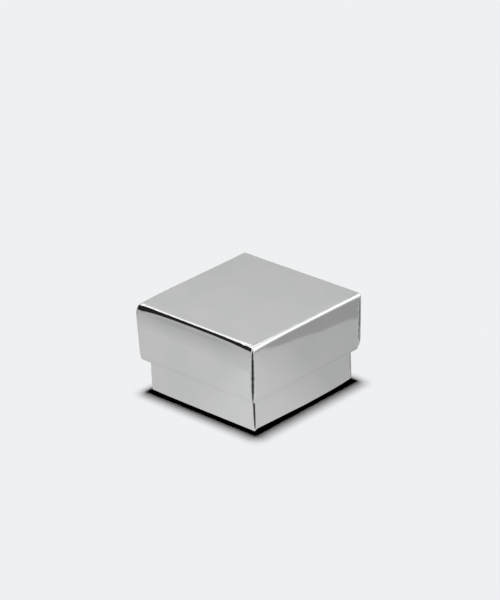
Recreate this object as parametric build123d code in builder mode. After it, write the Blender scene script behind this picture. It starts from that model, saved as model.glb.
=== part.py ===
from build123d import *
import math
import os
from typing import NamedTuple

# A small square rigid gift box: a tray and a lift-off lid, both folded from chipboard and
# covered in mirror foil paper, with a foam insert for a ring in the tray.
#
# Frame: millimetres, +Z up, origin at the centre of the tray's underside. The walls face
# -Y, +X, +Y and -X. Lid and tray are made the same way, one upside down to the other, so
# the functions below work from a closed end towards a rim.

# Driving dimensions, in millimetres
LID_SIDE = 50.0  # outside of the lid at its top, over the foil paper
LID_LEAN = 0.5  # how far each lid wall leans in from the top to the rim
LID_DEPTH = 18.8  # from the top of the lid down to its rim
BOX_HEIGHT = 30.0  # closed box, from its underside to the top of the lid
TRAY_SIDE = 44.6  # outside of the tray, over the foil paper
BOARD = 1.5  # rigid chipboard
FOIL_PAPER = 0.15  # metallised covering paper
GLUE_LINE = 0.10  # between board and foil paper, where the stay tape lies too
STAY_TAPE = 0.08  # paper tape that holds two board walls together at a corner
TURN_IN = 10.0  # foil paper folded over a rim and glued down inside the wall
RIM_GAP = 0.05  # between the tray's rim and the underside of the lid board

# Rounding of the covered outside
CORNER_RADIUS = 0.9  # upright corners
LID_ROLL = 1.2  # edges round the top of the lid
TRAY_ROLL = 0.8  # edges round the underside of the tray

# Chipboard and tape details
CORNER_SLIT = 0.25  # where two folded walls meet at a corner
SLIT_REACH = 4.5  # length of the cut, centred on the inside corner
STAY_LEG = 9.0  # how far a stay reaches along each wall
STAY_MARGIN = 1.4  # left free at a wall's rim and at its fold

# Insert
INSERT_CLEARANCE = 0.15  # between the insert and each wall of the tray
INSERT_CORNER = 1.5
FOAM_HEIGHT = 14.0
COVER_SHEET = 0.8  # flocked sheet laminated on the foam
RING_SLIT_LENGTH = 26.0
RING_SLIT_WIDTH = 1.2

# Worked out from them
COVERING = FOIL_PAPER + GLUE_LINE
TRAY_FLOOR_Z = COVERING + BOARD
FOAM_TOP_Z = TRAY_FLOOR_Z + FOAM_HEIGHT
INSERT_SIDE = TRAY_SIDE - 2 * (COVERING + BOARD + INSERT_CLEARANCE)

CORNERS = {
    "front_right": (1, -1),
    "back_right": (1, 1),
    "back_left": (-1, 1),
    "front_left": (-1, -1),
}


class Half(NamedTuple):
    """The covered outside of the lid or the tray."""

    name: str
    side: float  # at the closed end
    closed_z: float
    rim_z: float
    roll: float
    lean: float  # of each wall, from the closed end to the rim

    @property
    def towards_rim(self):
        return 1 if self.rim_z > self.closed_z else -1

    @property
    def lean_angle(self):
        return math.degrees(math.atan(self.lean / abs(self.rim_z - self.closed_z)))

    @property
    def rim_side(self):
        return self.side - 2 * self.lean


def save(part, label):
    """Labels a finished piece and writes its STEP file."""
    part.label = label
    export_step(part, f"parts/{label}.step")


def outside_block(half, inset):
    """The half's outside moved in by inset, with rounded corners and a rolled closed end."""
    start_z = half.closed_z + half.towards_rim * inset
    end_z = half.rim_z - half.towards_rim * inset
    side = half.side - 2 * inset
    with BuildPart() as block:
        with BuildSketch(Plane.XY.offset(start_z)):
            RectangleRounded(side, side, CORNER_RADIUS - inset)
        extrude(amount=end_z - start_z, taper=half.lean_angle)
        closed_face = block.faces().sort_by_distance((0, 0, start_z))[0]
        fillet(closed_face.edges(), radius=half.roll - inset)
    return block.part


def chipboard_shell(half):
    """One scored blank folded into an open box; its walls only meet at the corner slits."""
    inside = half.side - 2 * (COVERING + BOARD)
    inner_z = half.closed_z + half.towards_rim * (COVERING + BOARD)
    wall_height = half.rim_z - half.towards_rim * COVERING - inner_z
    solid_block = outside_block(half, COVERING)
    with BuildPart() as shell:
        add(solid_block)
        with BuildSketch(Plane.XY.offset(inner_z)):
            Rectangle(inside, inside)
        extrude(amount=wall_height, taper=half.lean_angle, mode=Mode.SUBTRACT)
        with BuildSketch(Plane.XY.offset(inner_z)):
            with PolarLocations(inside / math.sqrt(2), 4, start_angle=45):
                Rectangle(SLIT_REACH, CORNER_SLIT)
        extrude(amount=wall_height, mode=Mode.SUBTRACT)
    return shell.part


def corner_stay(half, corner_xy):
    """One strip of paper tape folded round an upright corner of the board, over its slit."""
    tape_outside = outside_block(half, COVERING - STAY_TAPE)
    board_outside = outside_block(half, COVERING)
    corner_x = corner_xy[0] * half.side / 2
    corner_y = corner_xy[1] * half.side / 2
    middle_z = (half.closed_z + half.rim_z) / 2
    height = abs(half.rim_z - half.closed_z) - 2 * (COVERING + STAY_MARGIN)
    with BuildPart() as stay:
        add(tape_outside)
        add(board_outside, mode=Mode.SUBTRACT)
        with Locations((corner_x, corner_y, middle_z)):
            Box(2 * STAY_LEG, 2 * STAY_LEG, height, mode=Mode.INTERSECT)
    return stay.part


def turned_in_edge(half):
    """The covering sheet's border, glued to the inside of the four walls."""
    inside = half.rim_side - 2 * (COVERING + BOARD)
    mouth = inside - 2 * FOIL_PAPER
    with BuildPart() as edge:
        with BuildSketch(Plane.XY.offset(half.rim_z)):
            Rectangle(inside, inside)
        extrude(amount=-half.towards_rim * TURN_IN, taper=-half.lean_angle)
        with BuildSketch(Plane.XY.offset(half.rim_z)):
            Rectangle(mouth, mouth)
        extrude(
            amount=-half.towards_rim * TURN_IN,
            taper=-half.lean_angle,
            mode=Mode.SUBTRACT,
        )
    return edge.part


def foil_wrap(half):
    """The covering: one sheet over the closed end and walls, over the rim and down inside."""
    mouth = half.rim_side - 2 * (COVERING + BOARD + FOIL_PAPER)
    outside = outside_block(half, 0)
    hollow = outside_block(half, FOIL_PAPER)
    inner_edge = turned_in_edge(half)
    with BuildPart() as wrap:
        add(outside)
        add(hollow, mode=Mode.SUBTRACT)
        with BuildSketch(Plane.XY.offset(half.rim_z)):
            Rectangle(mouth, mouth)
        extrude(amount=-half.towards_rim * FOIL_PAPER, mode=Mode.SUBTRACT)
        add(inner_edge)
    return wrap.part


os.makedirs("parts", exist_ok=True)

# The two halves: the lid is closed at the top and the tray at the bottom
LID = Half(
    name="lid",
    side=LID_SIDE,
    closed_z=BOX_HEIGHT,
    rim_z=BOX_HEIGHT - LID_DEPTH,
    roll=LID_ROLL,
    lean=LID_LEAN,
)
TRAY = Half(
    name="tray",
    side=TRAY_SIDE,
    closed_z=0.0,
    rim_z=BOX_HEIGHT - COVERING - BOARD - RIM_GAP,
    roll=TRAY_ROLL,
    lean=0.0,
)
for half in (LID, TRAY):
    save(chipboard_shell(half), f"{half.name}_board")
    save(foil_wrap(half), f"{half.name}_foil_wrap")
    for place, corner_xy in CORNERS.items():
        save(corner_stay(half, corner_xy), f"{half.name}_corner_stay_{place}")

# Insert: a foam block pressed into the tray, with a flocked sheet on it and a slit for a ring.
# The slit stands open in the sheet. In the foam it is a knife cut, which closes up of itself.
with BuildPart() as insert_foam:
    with BuildSketch(Plane.XY.offset(TRAY_FLOOR_Z)):
        RectangleRounded(INSERT_SIDE, INSERT_SIDE, INSERT_CORNER)
    extrude(amount=FOAM_HEIGHT)
save(insert_foam.part, "insert_foam")

with BuildPart() as insert_cover:
    with BuildSketch(Plane.XY.offset(FOAM_TOP_Z)):
        RectangleRounded(INSERT_SIDE, INSERT_SIDE, INSERT_CORNER)
        SlotOverall(RING_SLIT_LENGTH, RING_SLIT_WIDTH, mode=Mode.SUBTRACT)
    extrude(amount=COVER_SHEET)
save(insert_cover.part, "insert_cover")
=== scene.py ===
import math

import bmesh
import bpy
import numpy as np
from mathutils import Matrix, Vector


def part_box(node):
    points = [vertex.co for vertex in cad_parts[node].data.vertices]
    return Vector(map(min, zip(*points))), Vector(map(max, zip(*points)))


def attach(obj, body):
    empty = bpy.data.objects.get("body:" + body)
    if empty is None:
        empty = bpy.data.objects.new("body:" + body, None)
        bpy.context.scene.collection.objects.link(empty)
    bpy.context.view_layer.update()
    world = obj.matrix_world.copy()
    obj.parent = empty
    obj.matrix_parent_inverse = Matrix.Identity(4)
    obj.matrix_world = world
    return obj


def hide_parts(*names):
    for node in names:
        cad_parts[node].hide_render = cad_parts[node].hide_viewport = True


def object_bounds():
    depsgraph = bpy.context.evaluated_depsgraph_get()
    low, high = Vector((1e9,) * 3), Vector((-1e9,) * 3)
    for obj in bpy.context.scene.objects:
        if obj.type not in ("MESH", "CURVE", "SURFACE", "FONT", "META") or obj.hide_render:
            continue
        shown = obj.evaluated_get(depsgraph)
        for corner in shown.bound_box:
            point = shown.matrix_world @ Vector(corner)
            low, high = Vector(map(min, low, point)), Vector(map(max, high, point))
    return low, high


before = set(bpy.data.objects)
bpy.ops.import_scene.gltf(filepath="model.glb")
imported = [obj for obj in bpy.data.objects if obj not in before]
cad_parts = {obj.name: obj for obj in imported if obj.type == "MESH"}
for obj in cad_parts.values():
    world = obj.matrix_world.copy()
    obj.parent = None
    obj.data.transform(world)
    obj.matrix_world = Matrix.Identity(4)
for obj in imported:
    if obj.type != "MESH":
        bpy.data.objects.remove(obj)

# A small rigid gift box in mirror foil paper: a lid over a slightly narrower tray. The packed
# CAD gives the places and sizes. This script rebuilds the foil coverings, chipboards, stay
# tapes and insert as fine meshes, with the uneven edges and folds of hand-wrapped paper.
# Lengths are in millimetres until a mesh is made, and MM turns them into metres.

MM = 0.001
cad_low, cad_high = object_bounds()


# ---------------------------------------------------------------- sizes from the CAD model
def node_box(name):
    """A CAD node's lowest and highest corners in millimetres."""
    low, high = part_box(name)
    return np.array(low) / MM, np.array(high) / MM


lid_low, lid_high = node_box("lid_foil_wrap")
tray_low, tray_high = node_box("tray_foil_wrap")
_, lid_board_high = node_box("lid_board")
tray_board_low, _ = node_box("tray_board")
foam_low, foam_high = node_box("insert_foam")
cover_low, cover_high = node_box("insert_cover")

COVERING = lid_high[2] - lid_board_high[2]  # foil paper and glue line together
BOARD = foam_low[2] - tray_board_low[2]
FOIL_PAPER = 0.15
STAY_TAPE = 0.08
TURN_IN = 10.0
LID_LEAN = 0.5  # each lid wall leans in by this from the top to the rim
LID_SIDE = 50.0  # at the closed end, before its edges are rolled
RIM_FOLD = 0.35  # radius of the paper where it goes over a rim
STAY_LEG = 9.0  # how far a stay tape reaches along each wall
STAY_MARGIN = 1.4  # left free at a wall's rim and at its fold

# Divisions of the meshes
EDGE_ZONE = 5.0  # width of the finely divided band along every edge
EDGE_STEPS = 22
EDGE_POWER = 2.1  # above 1, so that the divisions crowd towards the edge
FLAT_STEP = 1.1
STAY_ROWS = 14
CAST_STEPS = 26  # halvings when a point is cast onto the surface
CAST_REACH = 1.1  # how far out it is looked for, as a share of the way to the flat sides

# The wrapped-round flap of paper beside each upright corner
LAP_WIDTH = 1.4
LAP_STEP = 0.07  # how much lower the paper beside it lies
LAP_EDGE = 0.12  # width of the step down from it
LAP_LINES = (1.28, 1.35, 1.46, 1.53)  # extra divisions where it ends
LAP_FADE = (0.6, 2.0)  # depths between which the step comes in, from the closed end
MITRE_DEPTH = 3.5  # the flap is cut off aslant from here to the closed end
MITRE_SLOPE = 0.96

# How uneven the paper is
RIPPLE = 0.004
ROLL_WAVER = (0.025, 0.02)  # shares of an edge's radius
CROWN_SPAN = 1.15  # a bowed edge is straight again this far from its peak, in half sides
GAP_RAGGED = (0.12, 0.08)  # shares of a gap's width
GAP_ZONE = 3.0  # gaps are within this of an upright corner
RIM_ZONE = 3.0  # an upright corner widens over this height at the rim

WALLS = ("front", "right", "back", "left")
CORNERS = {
    "front_left": (-1, -1),
    "front_right": (1, -1),
    "back_right": (1, 1),
    "back_left": (-1, 1),
}


# ---------------------------------------------------------------- the covered shape
def smooth(t):
    """0 below 0, 1 above 1, and an S-curve between."""
    t = np.clip(t, 0.0, 1.0)
    return t * t * (3 - 2 * t)


def rounded(a, b, radius):
    """Signed distance outside two surfaces that meet in an edge of this radius."""
    blend = np.hypot(np.maximum(a + radius, 0), np.maximum(b + radius, 0))
    return np.minimum(np.maximum(a, b), -radius) + blend


class Half:
    """The covered outside of the lid or the tray as a signed distance, and points cast on it.

    w is the depth from the closed end towards the rim. Walls are named as in WALLS, by the
    way they face, and upright corners as in CORNERS.
    """

    def __init__(self, side, depth, lean, rim_bow, uprights, rims, rolls, crowns, seam, gaps):
        self.half = side / 2
        self.depth = depth
        self.lean = lean
        self.rim_bow = rim_bow  # how far each wall's open rim bows in at its middle
        self.uprights = uprights  # radius of each upright corner
        self.rims = rims  # how much larger that radius is at the rim
        self.rolls = rolls  # radius of the closed end's edge at each wall's middle and corner
        # How each wall bows in at the closed end: by how much, down to what depth, the place
        # of its peak in half sides, and the share of it that is left at the corners.
        self.crowns = crowns
        self.seam = seam  # (first depth, last depth, inset) of the gaps that the folds leave
        # Each corner's gap: half its width, how far it is off the corner, and how it slants.
        self.gap_width = {corner: gap[0] for corner, gap in gaps.items()}
        self.gap_shift = {corner: gap[1] for corner, gap in gaps.items()}
        self.gap_slant = {corner: gap[2] for corner, gap in gaps.items()}

    def mix(self, x, y, values):
        """A value for each corner, blended over the square between them."""
        u = smooth(0.5 + 0.5 * x / self.half)
        v = smooth(0.5 + 0.5 * y / self.half)
        front = (1 - u) * values["front_left"] + u * values["front_right"]
        back = (1 - u) * values["back_left"] + u * values["back_right"]
        return (1 - v) * front + v * back

    def roll(self, x, y):
        """Radius of the rolled edge round the closed end."""
        # The high power gives the nearer wall almost the whole share.
        px = (np.abs(x) / self.half) ** 10 + 1e-9
        py = (np.abs(y) / self.half) ** 10 + 1e-9
        share = px / (px + py)  # 1 at the left and right walls, 0 at the front and back ones
        wall_x = np.where(x > 0, self.rolls["right"], self.rolls["left"])
        wall_y = np.where(y > 0, self.rolls["back"], self.rolls["front"])
        wall = share * wall_x + (1 - share) * wall_y
        along = share * np.abs(y) + (1 - share) * np.abs(x)
        at_corner = self.mix(x, y, self.rolls)
        even = wall + (at_corner - wall) * np.clip(along / self.half, 0, 1) ** 3
        slow, quick = ROLL_WAVER
        waver = slow * np.sin(1.9 * x + 1.1 * y) + quick * np.sin(0.8 * x - 3.3 * y + 1)
        return even * (1 + waver)

    def crown(self, wall, along, w):
        """How far a wall bows in at its closed edge and rim, most of all near its middle."""
        amount, reach, peak, least = self.crowns[wall]
        place = along / self.half - peak
        bulge = smooth(1 - (place / CROWN_SPAN) ** 2)
        closed = amount * np.clip(1 - w / reach, 0, 1) ** 2
        rim = self.rim_bow * np.clip(w / self.depth, 0, 1) ** 4
        return (least + (1 - least) * bulge) * closed + bulge * rim

    def ripple(self, along, w, seed):
        """The slow waviness of paper on board, from 0 inwards."""
        a = np.sin(0.43 * along + 0.31 * w + 1.7 * seed)
        b = np.sin(0.61 * along - 0.52 * w + 2.9 * seed + 1.0)
        c = np.sin(0.23 * along + 0.87 * w + 0.6 * seed + 2.0)
        return RIPPLE * (3 + a + b + c)

    def lap(self, x, w):
        """How much lower than the flap the paper beside it lies, fading out at the closed end."""
        first, last = LAP_FADE
        step = smooth(self.past_flap(x, w) / LAP_EDGE + 0.5)
        return LAP_STEP * step * smooth((w - first) / (last - first))

    def past_flap(self, x, w):
        """Distance beyond the flap's edge, which is cut off aslant towards the closed end."""
        width = LAP_WIDTH - MITRE_SLOPE * np.maximum(MITRE_DEPTH - w, 0)
        return self.half - self.lean * w / self.depth - np.abs(x) - width

    def gap(self, x, y, w):
        """1 in the gap that the folds leave down each upright corner, and 0 beside it."""
        first, last, _ = self.seam
        middle = (first + last) / 2
        reach = (last - first) / 2
        taper = np.sqrt(np.clip(1 - ((w - middle) / reach) ** 2, 0, 1))
        slow, quick = GAP_RAGGED
        ragged = 1 + slow * np.sin(3.1 * w) + quick * np.sin(7.3 * w + 1)
        slant = self.mix(x, y, self.gap_slant) * (1 - 2 * w / self.depth)
        centre = self.mix(x, y, self.gap_shift) + slant
        across = (np.abs(x) - np.abs(y)) / math.sqrt(2) - centre
        width = self.mix(x, y, self.gap_width) * ragged * taper + 1e-3
        near_corner = np.minimum(np.abs(x), np.abs(y)) > self.half - GAP_ZONE
        return np.exp(-(np.abs(across / width) ** 3)) * near_corner * smooth(taper * 3)

    def distance(self, x, y, w):
        """Signed distance from the covered outside, negative inside, without the gaps."""
        lean = self.lean * np.clip(w, 0, None) / self.depth
        in_x = np.where(x > 0, self.crown("right", y, w), self.crown("left", y, w))
        in_y = np.where(y > 0, self.crown("back", x, w), self.crown("front", x, w))
        in_x = in_x + self.ripple(y, w, 1 + (x > 0))
        in_y = in_y + self.ripple(x, w, 3 + (y > 0)) + self.lap(x, w)
        a = np.abs(x) - (self.half - lean - in_x)
        b = np.abs(y) - (self.half - lean - in_y)
        at_rim = smooth((w - self.depth + RIM_ZONE) / RIM_ZONE)
        upright = self.mix(x, y, self.uprights) + at_rim * self.mix(x, y, self.rims)
        # Near the closed end an upright corner grows to half the rolled edge's radius.
        grown = np.maximum(0.5 * self.mix(x, y, self.rolls), upright)
        upright = upright + (grown - upright) * (1 - smooth(w / (2.5 * grown)))
        return rounded(rounded(a, b, upright), -w, self.roll(x, y))

    # ------------------------------------------------------------ casting points on it
    def edge_ladder(self):
        """Distances from an edge of the divisions in its band."""
        steps = np.arange(EDGE_STEPS + 1) / EDGE_STEPS
        return np.sort(np.concatenate([EDGE_ZONE * steps**EDGE_POWER, LAP_LINES]))

    def ladder(self):
        """Places of the divisions from one wall to the opposite, crowded at both ends."""
        ends = self.edge_ladder()
        flat = 2 * (self.half - EDGE_ZONE)
        middle = np.linspace(0, flat, int(flat / FLAT_STEP) + 1)[1:-1]
        left = -self.half + ends
        right = self.half - ends[::-1]
        return np.concatenate([left, -self.half + EDGE_ZONE + middle, right])

    def depths(self, last):
        """Depths of the rows down the walls, crowded at the closed end."""
        steps = np.arange(1, EDGE_STEPS + 1) / EDGE_STEPS
        below = np.arange(EDGE_ZONE + FLAT_STEP, last - 0.5 * FLAT_STEP, FLAT_STEP)
        return np.concatenate([EDGE_ZONE * steps**EDGE_POWER, below])

    def cast(self, x, y, w, inset, dent):
        """Points of the surface moved in by inset, on the way out from the solid's core.

        dent is 1 to move them in at the corners' gaps, -1 to move them out there, or 0.
        """
        reach = self.half - EDGE_ZONE
        cx = np.clip(x, -reach, reach)
        cy = np.clip(y, -reach, reach)
        cw = np.maximum(w, EDGE_ZONE)
        low = np.zeros_like(x)
        high = np.full_like(x, CAST_REACH)
        for _ in range(CAST_STEPS):
            t = (low + high) / 2
            px, py, pw = cx + t * (x - cx), cy + t * (y - cy), cw + t * (w - cw)
            d = self.distance(px, py, pw) + inset
            if dent:
                d = d + dent * self.seam[2] * self.gap(px, py, pw)
            low = np.where(d < 0, t, low)
            high = np.where(d < 0, high, t)
        return np.stack([px, py, pw], axis=-1)

    def cap(self, inset, dent=0):
        """The closed end as a square grid of points."""
        line = self.ladder()
        x, y = np.meshgrid(line, line, indexing="ij")
        return self.cast(x, y, np.zeros_like(x), inset, dent)

    def ring(self, w, inset, dent=0):
        """One loop of points round the four walls at depth w."""
        line = self.ladder()
        there, back = line[:-1], line[:0:-1]
        first, last = np.full_like(there, line[0]), np.full_like(there, line[-1])
        x = np.concatenate([there, last, back, first])
        y = np.concatenate([first, there, last, back])
        return self.cast(x, y, np.full_like(x, w), inset, dent)


# ---------------------------------------------------------------- meshes
class Sheets:
    """Collects caps and rings of points, and the faces between them."""

    def __init__(self):
        self.points = []
        self.faces = []
        self.count = 0

    def add(self, points):
        start = self.count
        self.points.append(points.reshape(-1, 3))
        self.count += len(self.points[-1])
        return start

    def cap(self, points):
        """Adds a grid and its faces, and returns its border in the order of a ring."""
        n = len(points)
        index = self.add(points) + np.arange(n * n).reshape(n, n)
        self.faces += grid_faces(index)
        sides = (index[:-1, 0], index[-1, :-1], index[:0:-1, -1], index[0, :0:-1])
        return np.concatenate(sides)

    def ring(self, points):
        return self.add(points) + np.arange(len(points))

    def chain(self, loops):
        """Quads between each loop and the next."""
        for a, b in zip(loops, loops[1:]):
            self.faces += np.stack([a, b, np.roll(b, -1), np.roll(a, -1)], axis=-1).tolist()


def grid_faces(index):
    """Quads between the neighbours in a grid of vertex numbers."""
    quads = np.stack([index[:-1, :-1], index[1:, :-1], index[1:, 1:], index[:-1, 1:]], axis=-1)
    return quads.reshape(-1, 4).tolist()


def make_mesh(name, points, faces):
    """A smooth-shaded closed mesh from points in millimetres, its faces turned outwards."""
    mesh = bpy.data.meshes.new(name)
    mesh.from_pydata((points * MM).tolist(), [], faces)
    piece = bpy.data.objects.new(name, mesh)
    bpy.context.scene.collection.objects.link(piece)
    work = bmesh.new()
    work.from_mesh(mesh)
    bmesh.ops.recalc_face_normals(work, faces=work.faces)
    work.to_mesh(mesh)
    work.free()
    mesh.polygons.foreach_set("use_smooth", [True] * len(mesh.polygons))
    return piece


def add_values(piece, name, values):
    """Stores one number per vertex, for the materials to read."""
    layer = piece.data.attributes.new(name, "FLOAT", "POINT")
    layer.data.foreach_set("value", np.asarray(values, dtype=np.float32))


def plate(name, top, bottom, faces):
    """A closed thin solid between two layers of points that share the same faces."""
    top, bottom = top.reshape(-1, 3), bottom.reshape(-1, 3)
    count = len(top)
    edges = {(a, b) for face in faces for a, b in zip(face, face[1:] + face[:1])}
    border = [(a, b) for a, b in edges if (b, a) not in edges]
    walls = [[b, a, a + count, b + count] for a, b in sorted(border)]
    under = [[i + count for i in reversed(face)] for face in faces]
    return make_mesh(name, np.concatenate([top, bottom]), faces + under + walls)


def declare(piece, body, slot, *nodes):
    """Puts a piece on the body it rides on and hides the CAD nodes it stands for. slot is not
    used.
    """
    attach(piece, body)
    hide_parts(*nodes)


class Place:
    """Turns a half's (x, y, w) into the CAD frame: the lid's depth runs down, the tray's up."""

    def __init__(self, closed_z, direction):
        self.closed_z = closed_z
        self.direction = direction

    def points(self, local):
        flat = local.reshape(-1, 3)
        z = self.closed_z + self.direction * flat[:, 2]
        return np.stack([flat[:, 0], flat[:, 1], z], axis=-1)


def quarter(steps):
    """Angles that divide a quarter turn."""
    return [math.pi / 2 * s / steps for s in range(1, steps + 1)]


def rim_path(half):
    """(inset, w) of the paper from the outside, over the rim, and up the inside to its edge."""
    end = half.depth
    mouth = COVERING + BOARD + FOIL_PAPER
    start = end - RIM_FOLD
    path = [(0.0, start)]
    for angle in quarter(4):
        path.append((RIM_FOLD * (1 - math.cos(angle)), start + RIM_FOLD * math.sin(angle)))
    for angle in reversed(quarter(4)):
        path.append((mouth - RIM_FOLD * (1 - math.cos(angle)), start + RIM_FOLD * math.sin(angle)))
    path.append((mouth, start))
    path += [(mouth, start - share * (TURN_IN - RIM_FOLD)) for share in np.linspace(0.12, 1.0, 8)]
    return path


def under_path(half):
    """(inset, w) of the paper's glued side, from its turned-in edge back to the outside."""
    end = half.depth
    board_in = COVERING + BOARD
    return [
        (board_in, end - TURN_IN),
        (board_in, end - TURN_IN / 2),
        (board_in, end - COVERING),
        (COVERING, end - COVERING),
        (FOIL_PAPER, end - COVERING - FOIL_PAPER),
    ]


def crease_shade(half, x, y, w):
    """Painted shade where the paper is bent hard: along the closed end near its corners, and at
    the rim.
    """
    roll = half.roll(x, y)
    # Along the closed end the painted shade lies a fifth of the way round the rolled edge.
    off_crease = np.maximum(np.abs(x), np.abs(y)) - (half.half - roll) - 0.2 * roll
    strength = 0.25 + 0.75 * (np.minimum(np.abs(x), np.abs(y)) / half.half) ** 4
    width = 0.12 + 0.05 * roll
    at_closed_end = w < 0.3
    closed = strength * np.exp(-((off_crease / width) ** 2)) * at_closed_end
    # At the rim it is a faint painted dark line just before the paper goes over.
    off_rim = w - half.depth + 0.15
    rim = 0.3 * np.exp(-((off_rim / 0.2) ** 2))
    return closed + rim


def foil_wrap(name, half, place):
    """One sheet: closed end, walls, rolled over the rim and glued down inside the walls."""
    sheets = Sheets()
    rows = half.depths(half.depth - 0.5)
    outside = [sheets.cap(half.cap(0.0, dent=1))]
    outside += [sheets.ring(half.ring(w, 0.0, dent=1)) for w in rows]
    turned = [sheets.ring(half.ring(w, inset)) for inset, w in rim_path(half) + under_path(half)]
    inside = [sheets.cap(half.cap(FOIL_PAPER, dent=1))]
    inside += [sheets.ring(half.ring(w, FOIL_PAPER, dent=1)) for w in rows]
    sheets.chain(outside + turned + inside[::-1])
    local = np.concatenate(sheets.points)
    piece = make_mesh(name, place.points(local), sheets.faces)
    x, y, w = local.T
    outer_skin = half.distance(x, y, w) > -0.6  # a gap's bottom too, but no turned-in paper
    # The gaps' mask, for painted shade in them.
    add_values(piece, "seam", half.gap(x, y, w) * outer_skin)
    # The creases' mask, for painted shade along them.
    add_values(piece, "crease_shade", crease_shade(half, x, y, w) * outer_skin)
    return piece


def chipboard(name, half, place):
    """The folded board under the paper: closed end and four walls, with slits at the corners."""
    end = half.depth - COVERING
    inner = COVERING + BOARD
    bevel = 0.1
    sheets = Sheets()
    rows = half.depths(end - 2 * bevel)
    outside = [sheets.cap(half.cap(COVERING, dent=1))]
    outside += [sheets.ring(half.ring(w, COVERING, dent=1)) for w in rows]
    rim = [
        (COVERING + bevel, end),
        (COVERING + BOARD / 2, end),
        (inner - bevel, end),
        (inner, end - bevel),
    ]
    edge = [sheets.ring(half.ring(w, inset)) for inset, w in rim]
    inside = [sheets.cap(half.cap(inner, dent=-1))]
    inside += [sheets.ring(half.ring(w, inner, dent=-1)) for w in rows]
    sheets.chain(outside + edge + inside[::-1])
    local = np.concatenate(sheets.points)
    piece = make_mesh(name, place.points(local), sheets.faces)
    # The slits' mask, for painted shade in them.
    add_values(piece, "seam", half.gap(*local.T))
    return piece


def corner_stay(name, half, place, corner):
    """The paper tape folded round one upright corner, between the board and the foil."""
    sx, sy = corner
    flat_part = np.arange(EDGE_ZONE + 1, STAY_LEG + 0.1, 1.0)
    reach = np.concatenate([half.edge_ladder(), flat_part])
    flat = np.full_like(reach, half.half)
    away = half.half - reach
    x = sx * np.concatenate([away[::-1], flat[1:]])
    y = sy * np.concatenate([flat[::-1], away[1:]])
    w = np.linspace(STAY_MARGIN, half.depth - STAY_MARGIN, STAY_ROWS)
    gx, gw = np.meshgrid(x, w, indexing="ij")
    gy, _ = np.meshgrid(y, w, indexing="ij")
    outer = half.cast(gx, gy, gw, COVERING - STAY_TAPE, 1)
    inner = half.cast(gx, gy, gw, COVERING, 1)
    index = np.arange(gx.size).reshape(gx.shape)
    return plate(name, place.points(outer), place.points(inner), grid_faces(index))


LID = Half(
    side=LID_SIDE,
    depth=lid_high[2] - lid_low[2],
    lean=LID_LEAN,
    rim_bow=0.0,
    uprights={"front_left": 0.9, "front_right": 0.75, "back_right": 0.9, "back_left": 0.7},
    rims={"front_left": 0.6, "front_right": 0.2, "back_right": 1.8, "back_left": 0.8},
    rolls={
        "front": 1.05,
        "right": 1.15,
        "back": 0.8,
        "left": 0.9,
        "front_left": 2.3,
        "front_right": 2.0,
        "back_right": 1.3,
        "back_left": 0.9,
    },
    crowns={
        "front": (1.2, 9.5, -0.1, 0.55),
        "right": (0.15, 9.0, 0.0, 0.0),
        "back": (0.2, 9.0, 0.0, 0.0),
        "left": (0.2, 9.0, 0.1, 0.0),
    },
    seam=(1.2, 18.7, 0.36),
    gaps={
        "front_left": (0.3, 0, 0),
        "front_right": (0.48, 0, 0.32),
        "back_right": (0.2, 0.85, 0),
        "back_left": (0.3, 0, 0),
    },
)
TRAY = Half(
    side=tray_high[0] - tray_low[0],
    depth=tray_high[2] - tray_low[2],
    lean=0.0,
    rim_bow=0.4,
    uprights={"front_left": 0.8, "front_right": 0.75, "back_right": 0.9, "back_left": 0.8},
    rims={"front_left": 0.3, "front_right": 0.2, "back_right": 0.4, "back_left": 0.3},
    rolls={
        **dict.fromkeys(WALLS, 0.5),
        "front_left": 1.0,
        "front_right": 0.7,
        "back_right": 1.8,
        "back_left": 0.9,
    },
    crowns=dict.fromkeys(WALLS, (0.15, 9.0, 0.0, 0.0)),
    seam=(0.6, 40.0, 0.34),
    gaps={
        "front_left": (0.3, 0, 0),
        "front_right": (0.46, 0, 0),
        "back_right": (0.2, 0.5, 0),
        "back_left": (0.3, 0, 0),
    },
)
lid_place = Place(lid_high[2], -1)
tray_place = Place(tray_low[2], 1)

lid_foil = foil_wrap("lid_foil", LID, lid_place)
declare(lid_foil, "lid", "foil_paper", "lid_foil_wrap")
tray_foil = foil_wrap("tray_foil", TRAY, tray_place)
declare(tray_foil, "tray", "foil_paper", "tray_foil_wrap")
lid_board = chipboard("lid_chipboard", LID, lid_place)
declare(lid_board, "lid", "chipboard", "lid_board")
tray_board = chipboard("tray_chipboard", TRAY, tray_place)
declare(tray_board, "tray", "chipboard", "tray_board")

stays = []
for corner_name, corner in CORNERS.items():
    for body, half, place in (("lid", LID, lid_place), ("tray", TRAY, tray_place)):
        stay = corner_stay(f"{body}_stay_{corner_name}", half, place, corner)
        declare(stay, body, "stay_tape", f"{body}_corner_stay_{corner_name}")
        stays.append(stay)


# ---------------------------------------------------------------- the insert
SLIT_LENGTH = 26.0
SLIT_WIDTH = 1.2  # the open slit in the flocked sheet
FOAM_CUT_WIDTH = 0.3  # the knife cut in the foam, all but closed
FOAM_CUT_DEPTH = 11.0
PAD_CORNER = 1.5
PAD_CROWN = 0.35  # how much lower the pad is along its edges than in the middle
PAD_EDGE = 0.5  # how much lower still its rounded border is
PAD_EDGE_WIDTH = 1.1
PAD_FINE = 0.12  # its smallest and largest divisions
PAD_COARSE = 1.3
PAD_GAP = 0.02  # between the foam, the sheet on it and the tray's floor
LIP = 0.45  # how far the slit's lips are pulled down into it
LIP_WIDTH = 0.8
SLACK = 0.03  # slow unevenness of the soft top


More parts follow.
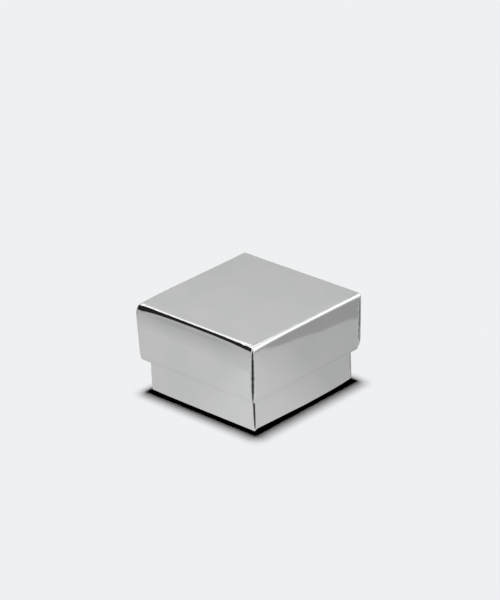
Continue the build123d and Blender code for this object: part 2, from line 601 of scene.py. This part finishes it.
def graded(stops, fine, coarse):
    """Places from the first stop to the last, closest together beside each stop."""
    growth = 1.35
    places = [stops[0]]
    for a, b in zip(stops, stops[1:]):
        steps = [0.0]
        gap = fine
        while steps[-1] + gap < (b - a) / 2:
            steps.append(steps[-1] + gap)
            gap = min(gap * growth, coarse)
        steps = np.array(steps[1:])
        places += list(a + steps) + list(b - steps[::-1]) + [b]
    return np.array(places)


def pad_plan(high, slit_width):
    """A grid over the pad, square (x, y) and with its corners rounded (rx, ry)."""
    slit_x, slit_y = SLIT_LENGTH / 2, slit_width / 2
    xs = graded([-high[0], -slit_x, slit_x, high[0]], PAD_FINE, PAD_COARSE)
    ys = graded([-high[1], -slit_y, slit_y, high[1]], PAD_FINE, PAD_COARSE)
    x, y = np.meshgrid(xs, ys, indexing="ij")
    dx = np.maximum(np.abs(x) - (high[0] - PAD_CORNER), 0)
    dy = np.maximum(np.abs(y) - (high[1] - PAD_CORNER), 0)
    shrink = np.maximum(dx, dy) / np.maximum(np.hypot(dx, dy), 1e-9)
    rx = np.sign(x) * (np.abs(x) - dx + dx * shrink)
    ry = np.sign(y) * (np.abs(y) - dy + dy * shrink)
    return x, y, rx, ry


def pad_height(x, y, high):
    """Height of the pad's soft top: crowned, rounded at its border, pulled in at the slit."""
    u = np.clip(np.abs(x) / high[0], 0, 1)
    v = np.clip(np.abs(y) / high[1], 0, 1)
    crown = PAD_CROWN * (1 - (1 - u**3) * (1 - v**3))
    border = np.minimum(high[0] - np.abs(x), high[1] - np.abs(y))
    edge = PAD_EDGE * (1 - smooth(border / PAD_EDGE_WIDTH)) ** 2
    past_end = np.maximum(np.abs(x) - SLIT_LENGTH / 2, 0)
    past_side = np.maximum(np.abs(y) - SLIT_WIDTH / 2, 0)
    lip = LIP * np.exp(-((np.hypot(past_end, past_side) / LIP_WIDTH) ** 1.3))
    slack = SLACK * (np.sin(0.5 * x + 1) * np.sin(0.4 * y) - 1)
    return high[2] - crown - edge - lip + slack


def in_slit(x, y, slit_width):
    """Whether each place is inside the slit, and not on its border."""
    within_length = np.abs(x) < SLIT_LENGTH / 2 - 1e-6
    within_width = np.abs(y) < slit_width / 2 - 1e-6
    return within_length & within_width


def flocked_face():
    """The flocked sheet on the foam, cut right through by the slit."""
    x, y, rx, ry = pad_plan(cover_high, SLIT_WIDTH)
    top = np.stack([rx, ry, pad_height(x, y, cover_high)], axis=-1)
    bottom = top - (0, 0, cover_high[2] - cover_low[2] - PAD_GAP)
    quads = grid_faces(np.arange(x.size).reshape(x.shape))
    middle_x = (x[:-1, :-1] + x[1:, 1:]) / 2
    middle_y = (y[:-1, :-1] + y[1:, 1:]) / 2
    cut = in_slit(middle_x, middle_y, SLIT_WIDTH).reshape(-1)
    kept = [quad for quad, gone in zip(quads, cut) if not gone]
    used = sorted({i for quad in kept for i in quad})
    number = {old: new for new, old in enumerate(used)}
    faces = [[number[i] for i in quad] for quad in kept]
    return plate("flocked_face", top.reshape(-1, 3)[used], bottom.reshape(-1, 3)[used], faces)


def foam_pad():
    """The foam block under the sheet, with a knife cut most of the way down under the slit."""
    x, y, rx, ry = pad_plan(foam_high, FOAM_CUT_WIDTH)
    top_z = pad_height(x, y, foam_high) - FOAM_CUT_DEPTH * in_slit(x, y, FOAM_CUT_WIDTH)
    top = np.stack([rx, ry, top_z], axis=-1)
    bottom = np.stack([rx, ry, np.full_like(rx, foam_low[2] + PAD_GAP)], axis=-1)
    return plate("ring_foam", top, bottom, grid_faces(np.arange(x.size).reshape(x.shape)))


flock = flocked_face()
declare(flock, "tray", "flock", "insert_cover")
foam = foam_pad()
declare(foam, "tray", "foam", "insert_foam")


# ---------------------------------------------------------------- materials
FOIL_TINTS = ((0.645, 0.66, 0.65, 1), (0.67, 0.68, 0.67, 1))
# painted shade along the creases
CREASE_SHADE_TINT = (0.3, 0.31, 0.3, 1)
# painted shade in the gaps of the folds
GAP_SHADE_TINT = (0.014, 0.014, 0.014, 1)
BOARD_TINTS = ((0.5, 0.47, 0.42, 1), (0.62, 0.59, 0.54, 1))
BOARD_SPECK = (0.3, 0.26, 0.21, 1)
# painted shade in the board's corner slits
BOARD_SLIT_SHADE = (0.12, 0.1, 0.08, 1)
TAPE_TINTS = ((0.34, 0.22, 0.12, 1), (0.5, 0.36, 0.22, 1))
FOAM_TINTS = ((0.6, 0.59, 0.56, 1), (0.78, 0.78, 0.75, 1))
FLOCK_TINTS = ((0.56, 0.56, 0.54, 1), (0.8, 0.8, 0.78, 1))
FLOCK_BRUSHED = (0.5, 0.5, 0.48, 1)
FLOOR_TINT = (0.8, 0.807, 0.82, 1)


class Nodes:
    """A new material's node tree, with short calls for the few kinds of node used here."""

    def __init__(self, name):
        self.material = bpy.data.materials.new(name)
        self.material.use_nodes = True
        self.tree = self.material.node_tree
        self.shader = self.tree.nodes["Principled BSDF"]

    def add(self, kind, **settings):
        node = self.tree.nodes.new(kind)
        for key, value in settings.items():
            setattr(node, key, value)
        return node

    def link(self, output, target):
        self.tree.links.new(output, target)

    def feed(self, source, target):
        """Links an output, or sets a plain number or colour."""
        if isinstance(source, (int, float, tuple)):
            target.default_value = source
        else:
            self.link(source, target)

    def set(self, name, value):
        """Gives one of the main shader's inputs an output, a number or a colour."""
        self.feed(value, self.shader.inputs[name])

    def place(self):
        """The surface's own place in metres."""
        return self.add("ShaderNodeTexCoord").outputs["Object"]

    def noise(self, size, stretch=(1, 1, 1), detail=3.0, roughness=0.5):
        """Noise whose features are about size millimetres across, longer where stretched."""
        mapping = self.add("ShaderNodeMapping")
        mapping.inputs["Scale"].default_value = tuple(1 / (size * MM * s) for s in stretch)
        self.link(self.place(), mapping.inputs["Vector"])
        node = self.add("ShaderNodeTexNoise")
        node.inputs["Scale"].default_value = 1.0
        node.inputs["Detail"].default_value = detail
        node.inputs["Roughness"].default_value = roughness
        self.link(mapping.outputs["Vector"], node.inputs["Vector"])
        return node.outputs["Fac"]

    def value(self, name):
        """A number stored on the mesh."""
        return self.add("ShaderNodeAttribute", attribute_name=name).outputs["Fac"]

    def rescale(self, source, low, high, to_low, to_high):
        """Turns low to high into to_low to to_high, and keeps what is past them at the ends."""
        node = self.add("ShaderNodeMapRange")
        limits = (low, high, to_low, to_high)
        for name, limit in zip(("From Min", "From Max", "To Min", "To Max"), limits):
            node.inputs[name].default_value = limit
        self.link(source, node.inputs["Value"])
        return node.outputs["Result"]

    def maths(self, operation, a, b):
        """One sum, product or the like of two outputs or numbers."""
        node = self.add("ShaderNodeMath", operation=operation)
        self.feed(a, node.inputs[0])
        self.feed(b, node.inputs[1])
        return node.outputs["Value"]

    def mix(self, share, colour_a, colour_b):
        """Colour a where share is 0 and colour b where it is 1."""
        node = self.add("ShaderNodeMix", data_type="RGBA")
        self.feed(share, node.inputs[0])
        self.feed(colour_a, node.inputs[6])  # the inputs and output that are for colours
        self.feed(colour_b, node.inputs[7])
        return node.outputs[2]

    def bump(self, height, distance, under=None):
        """Relief of this many millimetres, on top of the relief under it if there is one."""
        node = self.add("ShaderNodeBump")
        node.inputs["Distance"].default_value = distance * MM
        self.link(height, node.inputs["Height"])
        if under is not None:
            self.link(under, node.inputs["Normal"])
        return node.outputs["Normal"]


def foil_material():
    """Mirror-silver foil on paper: bright, a little satiny, with painted shade in the gaps of its
    folds and along its creases.
    """
    nodes = Nodes("mirror_foil_paper")
    cloud = nodes.rescale(nodes.noise(14.0, detail=2.0), 0.35, 0.65, 0, 1)
    grain = nodes.noise(0.5, stretch=(1, 1, 6))
    foil = nodes.mix(cloud, *FOIL_TINTS)
    # Painted shade along the creases, stronger near the corners.
    crease_shaded = nodes.mix(nodes.value("crease_shade"), foil, CREASE_SHADE_TINT)
    # Painted shade in the gaps of the folds, which are rougher too.
    gap = nodes.value("seam")
    nodes.set("Base Color", nodes.mix(gap, crease_shaded, GAP_SHADE_TINT))
    nodes.set("Metallic", 1.0)
    satin = nodes.rescale(grain, 0.3, 0.7, 0.05, 0.09)
    nodes.set("Roughness", nodes.maths("ADD", satin, nodes.maths("MULTIPLY", gap, 0.35)))
    wave = nodes.bump(nodes.noise(2.6, detail=1.0), 0.004)
    nodes.set("Normal", nodes.bump(grain, 0.0006, under=wave))
    return nodes.material


def chipboard_material():
    """Grey-white lined chipboard with short fibres, a few darker specks, and painted shade in its
    corner slits.
    """
    nodes = Nodes("grey_chipboard")
    fibre = nodes.noise(0.35, stretch=(5, 1, 1), detail=5.0, roughness=0.65)
    speck = nodes.rescale(nodes.noise(0.9, detail=6.0, roughness=0.75), 0.64, 0.72, 0, 0.6)
    fibres = nodes.rescale(fibre, 0.3, 0.7, 0, 1)
    specked = nodes.mix(speck, nodes.mix(fibres, *BOARD_TINTS), BOARD_SPECK)
    # Painted shade in the board's corner slits.
    nodes.set("Base Color", nodes.mix(nodes.value("seam"), specked, BOARD_SLIT_SHADE))
    nodes.set("Roughness", 0.85)
    nodes.set("Specular IOR Level", 0.25)
    nodes.set("Normal", nodes.bump(fibre, 0.03))
    return nodes.material


def tape_material():
    """Brown kraft paper tape."""
    nodes = Nodes("kraft_stay_tape")
    fibre = nodes.noise(0.3, stretch=(1, 1, 7), detail=4.0, roughness=0.6)
    fibres = nodes.rescale(fibre, 0.3, 0.7, 0, 1)
    nodes.set("Base Color", nodes.mix(fibres, *TAPE_TINTS))
    nodes.set("Roughness", 0.75)
    nodes.set("Normal", nodes.bump(fibre, 0.02))
    return nodes.material


def foam_material():
    """Off-white open-cell foam: pale walls round small darker cells."""
    nodes = Nodes("off_white_foam")
    cells = nodes.add("ShaderNodeTexVoronoi")
    cells.inputs["Scale"].default_value = 1 / (0.45 * MM)
    nodes.link(nodes.place(), cells.inputs["Vector"])
    wall = nodes.rescale(cells.outputs["Distance"], 0.1, 0.6, 0, 1)
    nodes.set("Base Color", nodes.mix(wall, *FOAM_TINTS))
    nodes.set("Roughness", 0.95)
    nodes.set("Specular IOR Level", 0.2)
    nodes.set("Normal", nodes.bump(wall, 0.12))
    return nodes.material


def flock_material():
    """White flocked sheet: short upright fibres, brushed a little unevenly, with a soft sheen."""
    nodes = Nodes("white_flock")
    fibre = nodes.noise(0.16, detail=4.0, roughness=0.7)
    brushed = nodes.rescale(nodes.noise(5.0, stretch=(2, 1, 1), detail=2.0), 0.3, 0.7, 0.0, 0.14)
    fibres = nodes.rescale(fibre, 0.3, 0.7, 0, 1)
    nodes.set("Base Color", nodes.mix(brushed, nodes.mix(fibres, *FLOCK_TINTS), FLOCK_BRUSHED))
    nodes.set("Roughness", 0.95)
    nodes.set("Specular IOR Level", 0.15)
    nodes.set("Sheen Weight", 0.35)
    nodes.set("Sheen Roughness", 0.4)
    nodes.set("Normal", nodes.bump(fibre, 0.09))
    return nodes.material


def cover_with(material, *pieces):
    for piece in pieces:
        piece.data.materials.append(material)


cover_with(foil_material(), lid_foil, tray_foil)
cover_with(chipboard_material(), lid_board, tray_board)
cover_with(tape_material(), *stays)
cover_with(foam_material(), foam)
cover_with(flock_material(), flock)


# ---------------------------------------------------------------- studio
# The room that the foil mirrors. Its light changes within two bands of height, given as the
# sines of angles above the horizon. The bands rise a little towards +X.
HORIZON_BAND = (0.488, 0.52)
HORIZON_LIGHT = (0.87, 0.985)  # below the band and above it
OVERHEAD_BAND = (0.73, 0.77)
OVERHEAD_LIGHT = (0, 0.8)  # added to the horizon's
BAND_TILT = (-0.12, 0, 1)
KEY_LIGHT = 3.4  # strengths of the lamps
FILL_LIGHT = 1.0
FLOOR_REACH = 6000.0
CARD_LIFT = 0.1  # how far above the floor a card's foot lies


def studio_world():
    """What the foil mirrors: pale grey walls and a bright ceiling. The lamps light the rest."""
    world = bpy.data.worlds.new("studio")
    bpy.context.scene.world = world
    world.use_nodes = True
    tree = world.node_tree
    tree.nodes.clear()
    place = tree.nodes.new("ShaderNodeTexCoord")
    height = tree.nodes.new("ShaderNodeVectorMath")
    height.operation = "DOT_PRODUCT"
    height.inputs[1].default_value = BAND_TILT
    tree.links.new(place.outputs["Generated"], height.inputs[0])
    total = tree.nodes.new("ShaderNodeMath")
    zones = ((*HORIZON_BAND, *HORIZON_LIGHT), (*OVERHEAD_BAND, *OVERHEAD_LIGHT))
    for slot, zone in enumerate(zones):
        light = tree.nodes.new("ShaderNodeMapRange")
        light.interpolation_type = "SMOOTHSTEP"
        for name, limit in zip(("From Min", "From Max", "To Min", "To Max"), zone):
            light.inputs[name].default_value = limit
        tree.links.new(height.outputs["Value"], light.inputs["Value"])
        tree.links.new(light.outputs["Result"], total.inputs[slot])
    back = tree.nodes.new("ShaderNodeBackground")
    tree.links.new(total.outputs["Value"], back.inputs["Strength"])
    out = tree.nodes.new("ShaderNodeOutputWorld")
    tree.links.new(back.outputs[0], out.inputs["Surface"])
    world.cycles_visibility.diffuse = False


def studio_lamp(name, strength, spread, tilt, turn):
    """A sun lamp with soft shadows that the foil doesn't mirror. Its angles are in degrees."""
    data = bpy.data.lights.new(name, "SUN")
    data.energy = strength
    data.angle = math.radians(spread)
    lamp = bpy.data.objects.new(name, data)
    lamp.rotation_euler = (math.radians(tilt), 0, math.radians(turn))
    bpy.context.scene.collection.objects.link(lamp)
    lamp.visible_glossy = False
    return lamp


def stage_panel(name, corners, material):
    """A flat four-cornered stage piece, its corners in millimetres."""
    mesh = bpy.data.meshes.new(name)
    mesh.from_pydata([(x * MM, y * MM, z * MM) for x, y, z in corners], [], [(0, 1, 2, 3)])
    mesh.materials.append(material)
    panel = bpy.data.objects.new(name, mesh)
    bpy.context.scene.collection.objects.link(panel)
    return panel


def studio_lamps():
    """A key lamp overhead, and four side lamps that reach only the pieces inside the foil."""
    studio_lamp("key", KEY_LIGHT, spread=14, tilt=-5, turn=44)
    within = bpy.data.collections.new("lit_by_fill")
    for piece in (lid_board, tray_board, *stays, flock, foam):
        within.objects.link(piece)
    for turn in (0, 90, 180, 270):
        fill = studio_lamp(f"fill_{turn}", FILL_LIGHT, spread=70, tilt=62, turn=turn)
        fill.light_linking.receiver_collection = within


def studio_floor():
    """A plain pale floor without a shine."""
    nodes = Nodes("studio_floor")
    nodes.set("Base Color", FLOOR_TINT)
    nodes.set("Roughness", 0.9)
    nodes.set("Specular IOR Level", 0.0)
    corners = [(FLOOR_REACH * sx, FLOOR_REACH * sy, 0) for sx, sy in CORNERS.values()]
    stage_panel("studio_floor", corners, nodes.material)


def glow_card(name, corners, direction, shades, fade=None):
    """A card that only reflections see, and only from the side that it faces.

    Its brightness changes along direction: shades are (place in millimetres, brightness).
    It fades out along X between the two places in fade.
    """
    nodes = Nodes(name)
    along = nodes.add("ShaderNodeVectorMath", operation="DOT_PRODUCT")
    nodes.link(nodes.place(), along.inputs[0])
    along.inputs[1].default_value = direction
    first, last = shades[0][0], shades[-1][0]
    share = nodes.rescale(along.outputs["Value"], first * MM, last * MM, 0, 1)
    ramp = nodes.add("ShaderNodeValToRGB")
    stops = ramp.color_ramp.elements
    while len(stops) < len(shades):
        stops.new(0.5)
    for stop, (at, shade) in zip(stops, shades):
        stop.position = (at - first) / (last - first)
        stop.color = (shade, shade, shade, 1)
    nodes.link(share, ramp.inputs[0])
    glow = nodes.add("ShaderNodeEmission")
    nodes.link(ramp.outputs["Color"], glow.inputs["Color"])
    clear = nodes.add("ShaderNodeBsdfTransparent")
    pick = nodes.add("ShaderNodeMixShader")
    unseen = nodes.add("ShaderNodeNewGeometry").outputs["Backfacing"]
    if fade:
        split = nodes.add("ShaderNodeSeparateXYZ")
        nodes.link(nodes.place(), split.inputs[0])
        gone = nodes.rescale(split.outputs["X"], fade[0] * MM, fade[1] * MM, 0, 1)
        unseen = nodes.maths("MAXIMUM", unseen, gone)
    nodes.link(unseen, pick.inputs[0])
    nodes.link(glow.outputs[0], pick.inputs[1])
    nodes.link(clear.outputs[0], pick.inputs[2])
    nodes.tree.nodes.remove(nodes.shader)
    nodes.link(pick.outputs[0], nodes.tree.nodes["Material Output"].inputs["Surface"])
    nodes.material.cycles.emission_sampling = "NONE"
    card = stage_panel(name, corners, nodes.material)
    card.visible_camera = False
    card.visible_diffuse = False
    card.visible_shadow = False
    card.visible_transmission = False


def upright_card(name, base_start, base_end, shades, fade=None):
    """A card standing on the line from base_start to base_end, facing that line's left."""
    (x0, y0), (x1, y1) = base_start, base_end
    low, high = shades[0][0], shades[-1][0]
    corners = [(x1, y1, low), (x0, y0, low), (x0, y0, high), (x1, y1, high)]
    glow_card(name, corners, (0, 0, 1), shades, fade)


def card_foot(name, outline, direction, shades):
    """A card that lies just above the floor, facing up."""
    glow_card(name, [(x, y, CARD_LIFT) for x, y in outline], direction, shades)


def dark_cards():
    """A low dark card in front, a tall black flag, and over the floor between the card and the box
    a glowing card that the foil mirrors instead of the floor: a painted reflection of the floor.
    """
    shades = ((0.2, 0.76), (8, 0.7), (16, 0.62), (21.5, 0.46), (24, 0.2), (26, 0.02), (32, 0.02))
    upright_card("dark_card", (-100, -55), (16, -55), shades, fade=(0, 16))
    upright_card("black_flag", (-328, -67), (-144, -303), ((0.2, 0.02), (350, 0.02)))
    outline = [(-100, -55), (40, -55), (26, -22), (-100, -22)]
    shades = ((-40, 0.735), (-11, 0.75), (5, 0.775), (14, 0.845), (25, 0.855))
    card_foot("dark_foot", outline, (0.94, -0.33, 0), shades)


def grey_cards():
    """A low grey card at the right, and over the floor between it and the box a glowing card that
    the foil mirrors instead of the floor: a painted reflection of the floor.
    """
    upright_card("grey_card", (76.2, -34.5), (4.2, 235.5), ((0.2, 0.43), (16, 0.43)))
    outline = [(24, -30), (75, 22.3), (57, 67), (20, 28)]
    shades = ((-20, 0.775), (-11, 0.735), (-6, 0.69), (1.3, 0.64), (6, 0.6), (30, 0.59))
    card_foot("grey_foot", outline, (-0.35, 0.94, 0), shades)


def softbox():
    """A wide white light beyond the box's back right corner, for the lines along its edges."""
    upright_card("softbox", (420, -60), (120, 480), ((60, 1.6), (420, 1.6)))


CAMERA_AZIMUTH = 44.40  # degrees, from straight in front towards +X
CAMERA_ELEVATION = 25.31
CAMERA_ROLL = -2.70
CAMERA_DISTANCE = 843.2
CAMERA_LENS = 163.2  # on a 36 mm sensor
AIM_ABOVE = 13.0  # how far above the box's middle the frame's middle is


def studio_camera():
    """The camera, aimed so that the box stands a little below the middle of the frame."""
    angles = (CAMERA_AZIMUTH, CAMERA_ELEVATION, CAMERA_ROLL)
    azimuth, elevation, roll = (math.radians(angle) for angle in angles)
    level = math.cos(elevation)
    away = Vector((math.sin(azimuth) * level, -math.cos(azimuth) * level, math.sin(elevation)))
    right = Vector((0, 0, 1)).cross(away).normalized()
    up = away.cross(right)
    turned_right = math.cos(roll) * right + math.sin(roll) * up
    turned_up = math.cos(roll) * up - math.sin(roll) * right
    middle = Vector((0, 0, (cad_low[2] + cad_high[2]) / 2))
    aim = middle + turned_up * AIM_ABOVE * MM
    data = bpy.data.cameras.new("studio_camera")
    data.sensor_width = 36
    data.lens = CAMERA_LENS
    data.clip_start = 0.01
    data.clip_end = 50
    camera = bpy.data.objects.new("studio_camera", data)
    bpy.context.scene.collection.objects.link(camera)
    turn = Matrix((turned_right, turned_up, away)).transposed().to_4x4()
    camera.matrix_world = Matrix.Translation(aim + away * CAMERA_DISTANCE * MM) @ turn
    bpy.context.scene.camera = camera


studio_world()
studio_lamps()
studio_floor()
dark_cards()
grey_cards()
softbox()
studio_camera()
bpy.context.scene.view_settings.view_transform = "Standard"
bpy.context.scene.cycles.caustics_reflective = False
